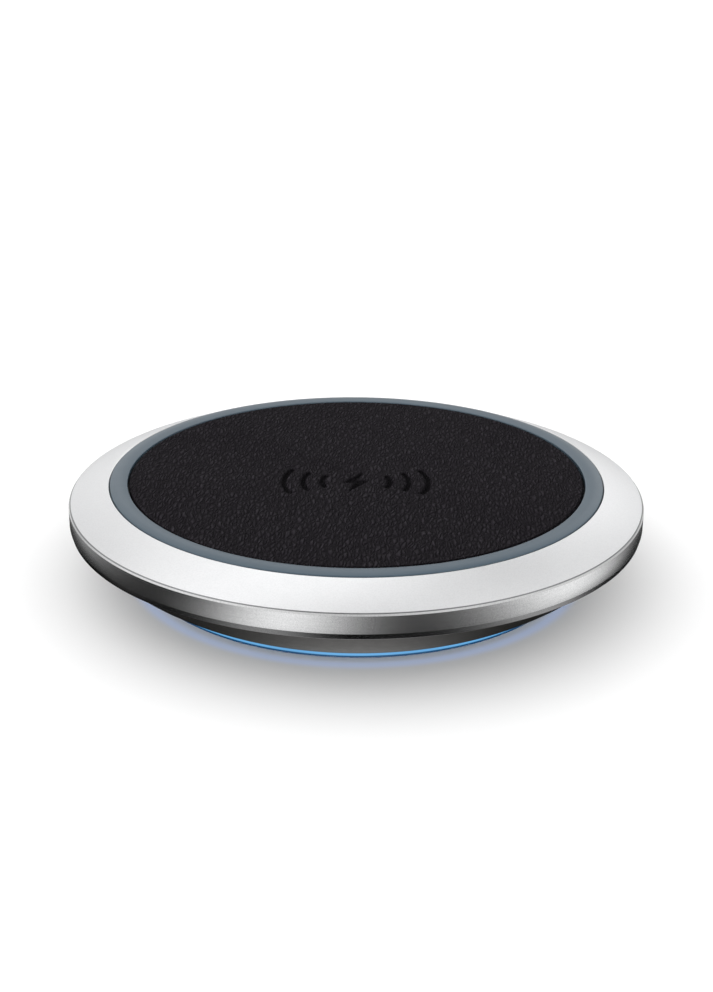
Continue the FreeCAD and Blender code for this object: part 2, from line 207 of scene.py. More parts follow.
def piece(name, mesh, materials, replaced, soft_angle=35.0):
    """Makes an object of a finished mesh, shades it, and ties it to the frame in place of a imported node."""
    made = bpy.data.objects.new(name, mesh)
    bpy.context.scene.collection.objects.link(made)
    for material in materials:
        mesh.materials.append(material)
    mesh.shade_smooth()
    mesh.set_sharp_from_angle(angle=math.radians(soft_angle))
    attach(made, BODY)
    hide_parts(replaced)
    return made


def mesh_of(name, points, faces, face_materials=None):
    """A mesh of points in millimetres."""
    mesh = bpy.data.meshes.new(name)
    mesh.from_pydata([tuple(c * MM for c in p) for p in points], [], faces)
    if face_materials is not None:
        mesh.polygons.foreach_set("material_index", face_materials)
    mesh.update()
    return mesh


def rounded(corners, steps=4):
    """A closed outline with each (r, z, radius) corner turned into a short arc of that radius."""
    outline = []
    count = len(corners)
    for index, (r, z, radius) in enumerate(corners):
        here = Vector((r, z))
        if radius <= 0:
            outline.append((r, z))
            continue
        before = Vector(corners[index - 1][:2]) - here
        after = Vector(corners[(index + 1) % count][:2]) - here
        half = before.angle(after) / 2
        reach = radius / math.tan(half)
        centre = here + (before.normalized() + after.normalized()).normalized() * (radius / math.sin(half))
        first = here + before.normalized() * reach - centre
        last = here + after.normalized() * reach - centre
        sweep = first.angle_signed(last)
        for step in range(steps + 1):
            turn = -sweep * step / steps
            c, s = math.cos(turn), math.sin(turn)
            outline.append((centre.x + c * first.x - s * first.y, centre.y + s * first.x + c * first.y))
    return outline


def turned_mesh(name, outline, zones=None):
    """A closed outline of (r, z) points turned round Z. zones gives the material of each outline span."""
    points, rings = [], []
    for r, z in outline:
        if r == 0:
            rings.append([len(points)] * TURNS)
            points.append((0.0, 0.0, z))
            continue
        rings.append(list(range(len(points), len(points) + TURNS)))
        for index in range(TURNS):
            angle = 2 * math.pi * index / TURNS
            points.append((r * math.cos(angle), r * math.sin(angle), z))
    faces, kinds = [], []
    for span in range(len(outline)):
        low, high = rings[span], rings[(span + 1) % len(outline)]
        if low[0] == low[1] and high[0] == high[1]:
            continue
        for index in range(TURNS):
            after = (index + 1) % TURNS
            corners = [low[index], low[after], high[after], high[index]]
            faces.append(list(dict.fromkeys(corners)))
            kinds.append(zones[span] if zones else 0)
    mesh = mesh_of(name, points, faces, kinds)
    outwards(mesh)
    return mesh


def strip_faces(rings, sides):
    """Faces between rings of points that follow each other, each with that many points."""
    faces = []
    for ring in range(rings - 1):
        for side in range(sides):
            after = (side + 1) % sides
            faces.append([ring * sides + side, ring * sides + after,
                          (ring + 1) * sides + after, (ring + 1) * sides + side])
    return faces


def outwards(mesh):
    """Turns every face of a closed mesh outwards."""
    work = bmesh.new()
    work.from_mesh(mesh)
    bmesh.ops.recalc_face_normals(work, faces=work.faces)
    work.to_mesh(mesh)
    work.free()


# ---------------------------------------------------------------- materials

def leather():
    """Black hide: long fine pebbles, with painted shade in the creases, and darker in the pressed mark."""
    look = Look("leather", Specular_IOR_Level=0.008)
    crease_shade_mask, pressed = look.attribute("crease"), look.attribute("pressed")
    wander = look.node("ShaderNodeTexNoise", Vector=look.coords, Scale=330.0).outputs["Color"]
    bent = look.node("ShaderNodeVectorMath", {"operation": "MULTIPLY_ADD"}, _0=wander,
                     _1=(0.0012, 0.0016, 0.0), _2=look.coords).outputs[0]
    long_and_leaning = {"Rotation": (0.0, 0.0, HIDE_LEAN - math.pi / 2), "Scale": (1.0, 3.6, 1.0)}
    leaning = look.node("ShaderNodeMapping", {"vector_type": "TEXTURE"}, Vector=bent, **long_and_leaning)
    pebble = look.cells(1690, "DISTANCE_TO_EDGE", leaning.outputs[0])
    wrinkle = look.between(pebble, 0.0, 1.0, 0.0, 0.34)
    tone = look.blend(look.noise(90, 4, 0.6), (0.0150, 0.0133, 0.0160), (0.0190, 0.0170, 0.0202))
    # Painted shade: the tone is darker in the grooves round the pebbles and in the mesh's creases.
    tone = look.blend(wrinkle, (0.0052, 0.0045, 0.0055), tone)
    tone = look.blend(look.between(crease_shade_mask, 0.0, 0.8), tone, (0.0066, 0.0057, 0.0070))
    tone = look.blend(look.between(pressed, 0.0, 0.85, 0.35, 0.7), tone, (0.0028, 0.0025, 0.0030))
    look.set("Base_Color", tone)
    dull = look.between(look.noise(700, 3, 0.6), 0.42, 0.60)
    look.set("Roughness", look.math("ADD", dull, look.math("MULTIPLY", pressed, 0.25)))
    fine = look.math("MULTIPLY", look.noise(2600, 2), 0.2)
    relief = look.math("ADD", look.math("MULTIPLY", wrinkle, 0.9), fine)
    look.bump(relief, 0.00031, 1.0)
    return look.material


def grip_rubber():
    """Smooth blue-grey silicone with a soft sheen and a little dust."""
    look = Look("grip_rubber", Specular_IOR_Level=0.38)
    tone = look.blend(look.noise(60, 4, 0.55), (0.046, 0.070, 0.091), (0.057, 0.083, 0.106))
    dust = look.between(look.noise(5200, 2, 0.7), 0.0, 1.0, 0.66, 0.80)
    look.set("Base_Color", look.blend(look.math("MULTIPLY", dust, 0.10), tone, (0.30, 0.33, 0.36)))
    look.set("Roughness", look.between(look.noise(420, 3), 0.26, 0.36))
    look.bump(look.noise(3500, 2), 0.000008, 0.5)
    return look.material


def blasted_aluminium():
    """Pale satin metal with a fine sparkle."""
    look = Look("blasted_aluminium", Metallic=1.0)
    speck = look.noise(4200, 3, 0.75)
    tone = look.blend(look.noise(45, 4, 0.55), (0.850, 0.855, 0.865), (0.905, 0.908, 0.915))
    look.set("Base_Color", look.blend(look.between(speck, 0.0, 0.35, 0.4, 0.75), tone, (0.66, 0.665, 0.675)))
    look.set("Roughness", look.between(look.noise(900, 3, 0.6), 0.32, 0.44))
    look.bump(speck, 0.00003, 0.7)
    return look.material


def turned_aluminium():
    """Bright fine-turned metal with a short random grain and faint lines round the ring."""
    look = Look("turned_aluminium", Metallic=1.0)
    angle, radius, height = look.round_axis()
    lines = look.vector(look.math("MULTIPLY", angle, 6.0), look.math("MULTIPLY", radius, 1500.0),
                        look.math("MULTIPLY", height, 4200.0))
    streak = look.noise(1.0, 4, 0.65, lines)
    grain = look.noise(4300, 3, 0.7)
    mixed = look.math("ADD", look.math("MULTIPLY", streak, 0.3), look.math("MULTIPLY", grain, 0.7))
    tone = look.blend(look.between(mixed, 0.0, 1.0, 0.3, 0.7), (0.70, 0.705, 0.71), (0.90, 0.902, 0.905))
    look.set("Base_Color", tone)
    look.set("Roughness", look.between(mixed, 0.15, 0.27))
    look.bump(mixed, 0.000014, 0.6)
    return look.material


def edge_shade_line():
    """A painted grey hairline of shade on the rounded edge where the blasted slope meets the chamfer."""
    look = Look("edge_shade_line", Metallic=1.0)
    look.set("Base_Color", look.blend(look.noise(300, 3), (0.27, 0.275, 0.28), (0.36, 0.365, 0.37)))
    look.set("Roughness", look.between(look.noise(900, 3), 0.35, 0.45))
    return look.material


def moulded_black():
    """Black plastic with a fine moulded texture."""
    look = Look("moulded_black", Specular_IOR_Level=0.4)
    look.set("Base_Color", look.blend(look.noise(70, 3), (0.011, 0.011, 0.012), (0.020, 0.020, 0.022)))
    look.set("Roughness", look.between(look.noise(1200, 3), 0.48, 0.66))
    look.bump(look.cells(2600, "F1"), 0.00002, 0.35)
    return look.material


def dish_coat():
    """Dark satin metallic coat with fine flake."""
    look = Look("dish_coat")
    flake = look.between(look.cells(5200, "F1"), 1.0, 0.0, 0.05, 0.35)
    tone = look.blend(look.noise(55, 3), (0.052, 0.050, 0.047), (0.070, 0.067, 0.063))
    look.set("Base_Color", look.blend(look.math("MULTIPLY", flake, 0.25), tone, (0.22, 0.21, 0.20)))
    look.set("Metallic", 0.75)
    look.set("Roughness", look.between(look.noise(800, 3), 0.34, 0.46))
    look.bump(look.noise(3800, 3, 0.7), 0.00002, 0.6)
    return look.material


def lit_guide():
    """Clear ring with blue light in it: a bright line under the dish, and dark blue below the line."""
    look = Look("lit_guide", Base_Color=(0.006, 0.02, 0.05), Roughness=0.25)
    angle, _, height = look.round_axis()
    line = look.between(height, 0.0, 1.0, GUIDE_LINE * MM, (GUIDE_LINE + 0.14) * MM)
    lamps = look.math("COSINE", look.math("MULTIPLY", angle, 12.0))
    glow = look.math("MULTIPLY", line, look.between(lamps, 0.92, 1.08, -1.0, 1.0))
    look.set("Emission_Color", look.blend(glow, (0.006, 0.045, 0.11), (0.13, 0.40, 0.72)))
    look.set("Emission_Strength", 1.0)
    return look.material


def foot_rubber():
    """Dull black rubber."""
    look = Look("foot_rubber", Specular_IOR_Level=0.3)
    look.set("Base_Color", look.blend(look.noise(80, 3), (0.018, 0.018, 0.019), (0.030, 0.030, 0.031)))
    look.set("Roughness", look.between(look.noise(900, 3), 0.62, 0.80))
    look.bump(look.noise(3000, 3), 0.00002, 0.5)
    return look.material


def ferrite():
    """Dark sintered tile, scored so that it breaks along an even grid."""
    look = Look("ferrite", Specular_IOR_Level=0.35)
    scored = look.between(look.cells(260, "DISTANCE_TO_EDGE", randomness=0.15), 0.0, 1.0, 0.0, 0.04)
    tone = look.blend(look.noise(300, 4, 0.6), (0.045, 0.045, 0.048), (0.075, 0.075, 0.080))
    look.set("Base_Color", look.blend(scored, (0.015, 0.015, 0.016), tone))
    look.set("Roughness", look.between(look.noise(900, 3), 0.45, 0.62))
    look.bump(scored, 0.00005, 0.6)
    return look.material


def circuit_board():
    """Green solder mask with copper tracks that show through it and a faint weave."""
    look = Look("circuit_board", Specular_IOR_Level=0.5)
    tracks = look.between(look.cells(420, "DISTANCE_TO_EDGE", randomness=0.7), 1.0, 0.0, 0.05, 0.09)
    mask = look.blend(look.noise(120, 3), (0.006, 0.070, 0.030), (0.010, 0.095, 0.042))
    look.set("Base_Color", look.blend(look.math("MULTIPLY", tracks, 0.7), mask, (0.045, 0.200, 0.075)))
    look.set("Roughness", look.between(look.noise(800, 3), 0.22, 0.36))
    look.bump(look.math("ADD", tracks, look.math("MULTIPLY", look.cells(3000), 0.15)), 0.00002, 0.6)
    return look.material


def coil_copper():
    """Enamelled strands twisted into one round wire."""
    look = Look("coil_copper", Metallic=0.9)
    strand = look.noise(2600, 3, 0.6)
    look.set("Base_Color", look.blend(strand, (0.42, 0.15, 0.06), (0.78, 0.36, 0.17)))
    look.set("Roughness", look.between(strand, 0.22, 0.38))
    look.bump(strand, 0.00003, 0.6)
    return look.material


def plain_look(name, dark, light, rough, metallic):
    """A material with two tones, uneven gloss and a fine grain, for the simple pieces."""
    look = Look(name, Metallic=metallic)
    look.set("Base_Color", look.blend(look.noise(250, 4, 0.6), dark, light))
    look.set("Roughness", look.between(look.noise(1500, 3), *rough))
    look.bump(look.noise(2000, 3), 0.00001, 0.5)
    return look.material


# ---------------------------------------------------------------- leather disc

def lattice(x, y, salt):
    """A repeatable random number from 0 to 1 for each whole-number grid place."""
    value = np.sin(x * 127.1 + y * 311.7 + salt * 74.7) * 43758.5453
    return value - np.floor(value)


def soft_noise(x, y, salt):
    """Smooth noise from 0 to 1, one hill per unit."""
    ix, iy = np.floor(x), np.floor(y)
    fx, fy = x - ix, y - iy
    fx, fy = fx * fx * (3 - 2 * fx), fy * fy * (3 - 2 * fy)
    low = lattice(ix, iy, salt) * (1 - fx) + lattice(ix + 1, iy, salt) * fx
    high = lattice(ix, iy + 1, salt) * (1 - fx) + lattice(ix + 1, iy + 1, salt) * fx
    return low * (1 - fy) + high * fy


def cell_edges(x, y, salt):
    """How far each point is from the edge between its two nearest cells, 0 on the edge."""
    far = 9.0
    ix, iy = np.floor(x), np.floor(y)
    first, second = np.full(x.shape, far), np.full(x.shape, far)
    for dx in (-1, 0, 1):
        for dy in (-1, 0, 1):
            cx, cy = ix + dx, iy + dy
            away = np.hypot(cx + lattice(cx, cy, salt) - x, cy + lattice(cx, cy, salt + 1) - y)
            second = np.minimum(second, np.maximum(first, away))
            first = np.minimum(first, away)
    return second - first


def wander(x, y, amount, hill_x, hill_y, salt):
    """Smooth noise round 0, with this amount between its extremes and hills of this size."""
    return amount * (soft_noise(x / hill_x, y / hill_y, salt) - 0.5)


# The hide's pebbles: their length and width in millimetres, the width of the creases round them as a share
# of a pebble's, how deep the creases are, and where their pattern starts.
LARGE_PEBBLES = (4.6, 0.9, 0.2, 1.0, 0, 0)
SMALL_PEBBLES = (3.2, 0.65, 0.24, 0.7, 7, 3)
PATCH_SIZE, PATCH_LEAST, PATCH_MORE = 3.1, 0.5, 0.8     # patches of the hide with deeper creases


def creases(along, across, pebbles, salt):
    """The creases round one size of pebble, from 0 to their depth."""
    length, width, crease_width, depth, start_along, start_across = pebbles
    edge = cell_edges(along / length + start_along, across / width + start_across, salt)
    return depth * np.exp(-(edge / crease_width) ** 2)


def hide_grain(x, y):
    """Creases of the hide from 0 (on a pebble) to 1 (in a crease); they lean one way and wander."""
    lean = HIDE_LEAN + wander(x, y, 0.16, 9, 9, 61)
    along = x * math.cos(HIDE_LEAN) + y * math.sin(HIDE_LEAN) + wander(x, y, 1.6, 5, 5, 3)
    across = -x * np.sin(lean) + y * np.cos(lean) + wander(x, y, 0.35, 2.6, 4, 11)
    both = creases(along, across, LARGE_PEBBLES, 21) + creases(along, across, SMALL_PEBBLES, 43)
    patch = PATCH_LEAST + PATCH_MORE * soft_noise(x / PATCH_SIZE, y / PATCH_SIZE, 5)
    return np.clip(both * patch, 0, 1)


# The pressed mark, in millimetres from its own centre.
MARK_Y = -4.0
MARK_STROKE, MARK_EDGE = 0.95, 0.05
MARK_ARCS = (5.9, 9.2, 12.5)
MARK_HALF_ANGLE = math.radians(25)
BOLT = ((1.3, 4.7), (-2.3, -0.55), (-0.25, -0.55), (-1.3, -4.7), (2.3, 0.55), (0.25, 0.55))


def outside_bolt(x, y):
    """Signed distance to the lightning bolt, negative inside it."""
    near, inside = np.full(x.shape, 1e9), np.zeros(x.shape, bool)
    for (ax, ay), (bx, by) in zip(BOLT, BOLT[1:] + BOLT[:1]):
        ex, ey = bx - ax, by - ay
        share = np.clip(((x - ax) * ex + (y - ay) * ey) / (ex * ex + ey * ey), 0, 1)
        near = np.minimum(near, np.hypot(x - ax - share * ex, y - ay - share * ey))
        crosses = (ay > y) != (by > y)
        inside ^= crosses & (x < ax + (y - ay) * ex / (ey if ey else 1e-9))
    return np.where(inside, -near, near)


def pressed_mark(x, y):
    """1 inside the pressed mark, a bolt between rows of arcs, falling smoothly to 0 outside it."""
    y = y - MARK_Y
    away = outside_bolt(x, y)
    angle = np.arctan2(y, np.abs(x))
    held = np.clip(angle, -MARK_HALF_ANGLE, MARK_HALF_ANGLE)
    for radius in MARK_ARCS:
        ends = np.hypot(np.abs(x) - radius * np.cos(held), y - radius * np.sin(held))
        away = np.minimum(away, ends - MARK_STROKE / 2)
    return 1 / (1 + np.exp(np.clip(away / MARK_EDGE, -30, 30)))


def disc_grid(cells):
    """An even square grid carried onto a disc of radius 1, with its rows closed round the rim."""
    side = np.linspace(-1, 1, cells + 1)
    u, v = np.meshgrid(side, side, indexing="ij")
    wide = np.abs(u) > np.abs(v)
    radius = np.where(wide, u, v)
    safe = np.where(radius == 0, 1, radius)
    angle = np.where(wide, math.pi / 4 * v / safe, math.pi / 2 - math.pi / 4 * u / safe)
    return radius * np.cos(angle), radius * np.sin(angle), np.abs(radius)


def hide_heights(x, y, share, crease, pressed):
    """Height of the hide's face: rolled down at the rim, and lower in the creases and the mark."""
    from_rim = (1 - share) * PAD_R
    into_roll = np.clip(HIDE_ROLL - from_rim, 0, HIDE_ROLL)
    roll = HIDE_ROLL - np.sqrt(np.clip(HIDE_ROLL ** 2 - into_roll ** 2, 0, None))
    flat = np.clip(from_rim / 0.8, 0, 1) * (1 - 0.8 * pressed)
    swell = 0.02 * (soft_noise(x / 7, y / 7, 31) - 1)
    return PAD_TOP - 0.01 - roll - CREASE_DEPTH * crease * flat + swell * flat - MARK_DEPTH * pressed


def closed_sheet(name, face_points, size, bottom):
    """A square grid of points, size to a side, closed by walls and a flat underside."""
    ids = np.arange(size * size).reshape(size, size)
    quads = np.stack([ids[:-1, :-1], ids[1:, :-1], ids[1:, 1:], ids[:-1, 1:]], -1).reshape(-1, 4)
    rim = np.concatenate([ids[:-1, 0], ids[-1, :-1], ids[:0:-1, -1], ids[0, :0:-1]])
    low = face_points[rim].copy()
    low[:, 2] = bottom
    below = len(face_points) + np.arange(len(rim))
    centre = len(face_points) + len(rim)
    points = np.concatenate([face_points, low, [[0.0, 0.0, bottom]]])
    after, below_after = np.roll(rim, -1), np.roll(below, -1)
    walls = np.stack([after, rim, below, below_after], -1)
    underside = np.stack([below_after, below, np.full(len(rim), centre)], -1)
    faces = [tuple(map(int, face)) for face in (*quads, *walls, *underside)]
    mesh = mesh_of(name, points.tolist(), faces)
    outwards(mesh)
    return mesh


def leather_pad():
    """Grained hide with a rolled edge and a pressed mark; a closed sheet."""
    size = 297
    x, y, share = disc_grid(size - 1)
    x, y = x * PAD_R, y * PAD_R
    crease, pressed = hide_grain(x, y), pressed_mark(x, y)
    z = hide_heights(x, y, share, crease, pressed)
    mesh = closed_sheet("leather_cover", np.stack([x, y, z], -1).reshape(-1, 3), size, PAD_BOTTOM)
    # The leather's material paints shade along the crease attribute and darkens the pressed mark.
    for label, values in (("crease", crease), ("pressed", pressed)):
        full = np.zeros(len(mesh.vertices))
        full[: size * size] = values.reshape(-1)
        mesh.attributes.new(label, "FLOAT", "POINT").data.foreach_set("value", full)
    made = piece("leather_cover", mesh, [leather()], "leather_pad")
    return made


# ---------------------------------------------------------------- turned pieces

def grip_ring():
    """Rubber ring with a low rounded crown, a little higher at its inner side."""
    edge = GRIP_TOP - GRIP_CROWN
    first_r, run = GRIP_IN_R + GRIP_IN_SIDE, GRIP_OUT_R - GRIP_IN_R - (GRIP_IN_SIDE + GRIP_OUT_SIDE)
    steps = 14
    crown = []
    for step in range(steps + 1):
        share = step / steps
        crown.append((first_r + share * run, edge + GRIP_CROWN * math.sin(math.pi * (0.12 + 0.80 * share))))
    inner_z, outer_z = crown[0][1], crown[-1][1]
    outline = [(GRIP_IN_R, GRIP_BOTTOM), (GRIP_IN_R, inner_z - 0.16), (GRIP_IN_R + 0.05, inner_z - 0.05)]
    outline += crown
    outline += [(GRIP_OUT_R - 0.03, outer_z - 0.07), (GRIP_OUT_R, outer_z - 0.2), (GRIP_OUT_R, GRIP_BOTTOM)]
    mesh = turned_mesh("grip_band", outline)
    return piece("grip_band", mesh, [grip_rubber()], "grip_ring")


ON_SLOPE, ON_BAND, AT_EDGE = 0, 1, 2    # the bezel's materials; AT_EDGE is a painted line of shade
EDGE_SHADE_REACH = 0.16           # how far the painted shade line goes to each side of the slope's edge
SLOPE_RISE, SLOPE_START = 0.04, 0.12    # the slope's face lies this far over its edge, and out from its rim


def bezel_zone(first, second):
    """The material of one span of the bezel's outline."""
    ends = (first, second)
    if max(math.hypot(r - BEZEL_EDGE_R, z - BEZEL_EDGE_TOP) for r, z in ends) < EDGE_SHADE_REACH:
        return AT_EDGE
    above = min(z for r, z in ends) > BEZEL_EDGE_TOP + SLOPE_RISE
    outside = min(r for r, z in ends) > BEZEL_IN_R + SLOPE_START
    return ON_SLOPE if above and outside else ON_BAND


def bezel_ring():
    """Sloping blasted face, a narrow chamfer, a turned vertical band and the lip below it, with a painted
    line of shade where the slope meets the chamfer.
    """
    outline = rounded([
        (BEZEL_IN_R, BEZEL_TOP - 0.12, 0.03), (BEZEL_IN_R + 0.13, BEZEL_TOP - 0.02, 0.03),
        (BEZEL_EDGE_R, BEZEL_EDGE_TOP, 0.40), (OUTER_R, BAND_TOP, 0.08), (OUTER_R, BAND_BOTTOM, 0.08),
        (LIP_R, LIP_BOTTOM, 0.08), (BAND_IN_R, LIP_BOTTOM, 0.05), (BAND_IN_R, BAND_IN_TOP, 0),
        (BEZEL_IN_R, BEZEL_IN_BOTTOM, 0),
    ])
    zones = [bezel_zone(first, second) for first, second in zip(outline, outline[1:] + outline[:1])]
    mesh = turned_mesh("bezel", outline, zones)
    looks = [blasted_aluminium(), turned_aluminium(), edge_shade_line()]
    return piece("bezel", mesh, looks, "bezel_ring", soft_angle=50)


def cut_with(made, tool, operation):
    """Applies a boolean between two objects to the first, and deletes the second."""
    modifier = made.modifiers.new("cut", "BOOLEAN")
    modifier.object, modifier.operation, modifier.solver = tool, operation, "EXACT"
    settled = made.evaluated_get(bpy.context.evaluated_depsgraph_get())
    mesh = bpy.data.meshes.new_from_object(settled)
    made.modifiers.clear()
    made.data = mesh
    bpy.data.objects.remove(tool)


def loose(name, mesh):
    """An object that is only a step in making a piece."""
    made = bpy.data.objects.new(name, mesh)
    bpy.context.scene.collection.objects.link(made)
    return made


def bar(name, half_w, bottom, top, front, back, corner=0.4, steps=5):
    """A bar along Y with rounded long edges."""
    outline = rounded([(-half_w, bottom, corner), (half_w, bottom, corner),
                       (half_w, top, corner), (-half_w, top, corner)], steps)
    points = [(x, y, z) for y in (front, back) for x, z in outline]
    count = len(outline)
    faces = [list(range(count)), list(range(2 * count - 1, count - 1, -1))]
    for index in range(count):
        after = (index + 1) % count
        faces.append([index, index + count, after + count, after])
    mesh = mesh_of(name, points, faces)
    outwards(mesh)
    return loose(name, mesh)


def bowl_outline():
    """Outer profile of the dish from its foot up to its rim, steeper towards the rim."""
    steps = 14
    edge = DISH_TOP - 0.08
    run = DISH_TOP_R - DISH_FOOT_R
    curve = (edge - DISH_FOOT - DISH_SLOPE * run) / run ** 2
    outs = [run * step / steps for step in range(steps + 1)]
    return [(DISH_FOOT_R + out, DISH_FOOT + DISH_SLOPE * out + curve * out ** 2, 0) for out in outs]


def soften(made, offset, chosen):
    """Rounds the sharp edges whose two ends both pass the test; it is given x, y and z in millimetres."""
    work = bmesh.new()
    work.from_mesh(made.data)
    bmesh.ops.remove_doubles(work, verts=work.verts, dist=1e-7)
    edges = [e for e in work.edges if len(e.link_faces) == 2 and e.calc_face_angle() > math.radians(40)
             and all(chosen(*(c / MM for c in v.co)) for v in e.verts)]
    bmesh.ops.bevel(work, geom=edges, offset=offset * MM, segments=2, affect="EDGES", clamp_overlap=True)
    work.to_mesh(made.data)
    work.free()


def dish_section(bowl):
    """The dish's outline: the bowl outside, then the rim, the step, the inside and the flange."""
    return rounded([
        (DISH_FOOT_R, DISH_FOOT, 0.08), *bowl[1:-1], (*bowl[-1][:2], 0.03), (DISH_TOP_R, DISH_TOP, 0.03),
        (DISH_STEP_R, DISH_TOP, 0), (DISH_STEP_R, DISH_STEP_Z, 0), (DISH_IN_R, DISH_STEP_Z, 0),
        (DISH_IN_FOOT_R, FLANGE_TOP, 0), (FLANGE_IN_R, FLANGE_TOP, 0), (FLANGE_IN_R, GUIDE_TOP, 0),
        (GUIDE_SEAT_R, GUIDE_TOP, 0), (GUIDE_SEAT_R, DISH_FOOT, 0),
    ])


def pocket_walls(bowl):
    """A block for the plug's pocket, cut off where it would stand out of the bowl."""
    top = DISH_TOP - 0.02
    solid_bowl = [(0, DISH_FOOT)] + [corner[:2] for corner in bowl] + [(DISH_TOP_R - 0.05, top), (0, top)]
    made = bar("walls", POCKET_HALF_W + POCKET_WALL, GUIDE_TOP, top, POCKET_Y - POCKET_WALL, OUTER_R)
    cut_with(made, loose("filled", turned_mesh("filled", solid_bowl)), "INTERSECT")
    return made


def dish():
    """Flaring bowl under the ring, with a pocket at the back for the plug."""
    bowl = bowl_outline()
    made = loose("dish", turned_mesh("dish", dish_section(bowl)))
    cut_with(made, pocket_walls(bowl), "UNION")
    pocket = bar("pocket", POCKET_HALF_W, DISH_FOOT - 0.6, POCKET_TOP, POCKET_Y, OUTER_R + 1,
                 corner=POCKET_CORNER)
    cut_with(made, pocket, "DIFFERENCE")
    half_port = PORT_H / 2 + PORT_PLAY
    mouth = bar("mouth", PORT_W / 2 + PORT_PLAY, PORT_Z - half_port, PORT_Z + half_port,
                POCKET_Y - 2 * POCKET_WALL, POCKET_Y + 1, corner=half_port - 0.01, steps=10)
    cut_with(made, mouth, "DIFFERENCE")

    def at_pocket_rim(x, y, z):
        return y > POCKET_Y + 0.5 and abs(x) < POCKET_HALF_W + 0.02 and z > DISH_FOOT + 0.3

    soften(made, POCKET_RIM_ROUND, at_pocket_rim)
    mesh = made.data
    bpy.data.objects.remove(made)
    mesh.materials.clear()
    return piece("dish", mesh, [dish_coat()], "lower_shell", soft_angle=40)


def light_ring():
    """Clear ring under the dish's foot, with a flange that holds it from inside."""
    outline = rounded([
        (GUIDE_IN_R, GUIDE_BOTTOM, 0), (GUIDE_R, GUIDE_BOTTOM, 0.15), (GUIDE_R, DISH_FOOT, 0),
        (GUIDE_FLANGE_R, DISH_FOOT, 0), (GUIDE_FLANGE_R, GUIDE_TOP, 0), (GUIDE_FLANGE_IN_R, GUIDE_TOP, 0),
        (GUIDE_FLANGE_IN_R, GUIDE_STEP_Z, 0), (GUIDE_IN_R, GUIDE_STEP_Z, 0),
    ])
    return piece("light_ring", turned_mesh("light_ring", outline), [lit_guide()], "light_guide")


def coil_winding():
    """One round wire wound into a flat spiral."""
    low, high = low_of("transmitter_coil", "z"), high_of("transmitter_coil", "z")
    per_turn, sides = 90, 10
    wire_r = min(COIL_PITCH, high - low) / 2 - 0.02
    first_r = high_of("transmitter_coil", "x") - wire_r - COIL_TURNS * COIL_PITCH
    middle = (low + high) / 2
    count = COIL_TURNS * per_turn + 1
    points = []
    for step in range(count):
        angle = 2 * math.pi * step / per_turn
        centre_r = first_r + COIL_PITCH * step / per_turn
        for side in range(sides):
            around = 2 * math.pi * side / sides
            r = centre_r + wire_r * math.cos(around)
            points.append((r * math.cos(angle), r * math.sin(angle), middle + wire_r * math.sin(around)))
    faces = strip_faces(count, sides)
    faces.append(list(range(sides)))
    faces.append(list(range((count - 1) * sides, count * sides)))
    mesh = mesh_of("coil_winding", points, faces)
    outwards(mesh)
    return piece("coil_winding", mesh, [coil_copper()], "transmitter_coil", soft_angle=60)


# ---------------------------------------------------------------- stage

def direction(azimuth, elevation):
    """A unit vector; azimuth 0 is the camera's side, 90 the right and 180 behind the pad, in degrees."""
    a, e = math.radians(azimuth), math.radians(elevation)
    return Vector((math.sin(a) * math.cos(e), -math.cos(a) * math.cos(e), math.sin(e)))


FLOOR_REACH, FLOOR_LEVEL = 8.0, -0.00002    # in metres
GLOW_R, GLOW_SPREAD = 39.6, 1.5             # the ring of blue light painted on the floor as its own emission


def floor():
    """Pale matte floor, with a painted glow: its own emission in a blue ring where the light ring's light
    would fall.
    """
    mesh = bpy.data.meshes.new("floor")
    signs = ((-1, -1), (1, -1), (1, 1), (-1, 1))
    mesh.from_pydata([(x * FLOOR_REACH, y * FLOOR_REACH, FLOOR_LEVEL) for x, y in signs], [], [(0, 1, 2, 3)])
    look = Look("floor", Roughness=0.5, Specular_IOR_Level=0.05, Emission_Strength=1.0)
    look.set("Base_Color", look.blend(look.noise(3, 2), (0.86, 0.86, 0.86), (0.875, 0.875, 0.875)))
    # Painted glow: the floor itself emits blue in a ring round GLOW_R.
    radius = look.node("ShaderNodeVectorMath", {"operation": "LENGTH"}, _0=look.coords).outputs["Value"]
    aside = look.math("ABSOLUTE", look.math("SUBTRACT", radius, GLOW_R * MM))
    glow = look.between(aside, 1.0, 0.0, 0.0, GLOW_SPREAD * MM)
    look.set("Emission_Color", look.blend(glow, (0.0, 0.0, 0.0), (0.0, 0.045, 0.17)))
    mesh.materials.append(look.material)
    made = bpy.data.objects.new("floor", mesh)
    made.visible_glossy = False
    bpy.context.scene.collection.objects.link(made)


# Softboxes of the studio: azimuth, elevation, half-width in degrees, and level over the room's own.
ROOM_LEVEL = 0.62
SOFTBOXES = (
    (180, 14, 30, 0.16),
    (156, 21, 11, 0.74),
    (-158, 21, 16, 0.44),
    (180, 63, 31, 1.24),
    (75, 42, 42, 0.28),
    (-75, 42, 42, 0.44),
)
# Black flags: azimuth, elevation, half-width in degrees, and the share of light that each takes away.
FLAGS = ((152, 53, 11.5, 0.88), (-150, 43, 16, 0.36), (0, 84, 20, 0.98))
# What lights matte surfaces: a room that is brightest low down, and more light from one side.
HORIZON_LEVEL, ZENITH_LEVEL, SIDE_LEVEL = 4.05, 0.42, 0.6
SIDE_AZIMUTH, SIDE_ELEVATION = -115, 28


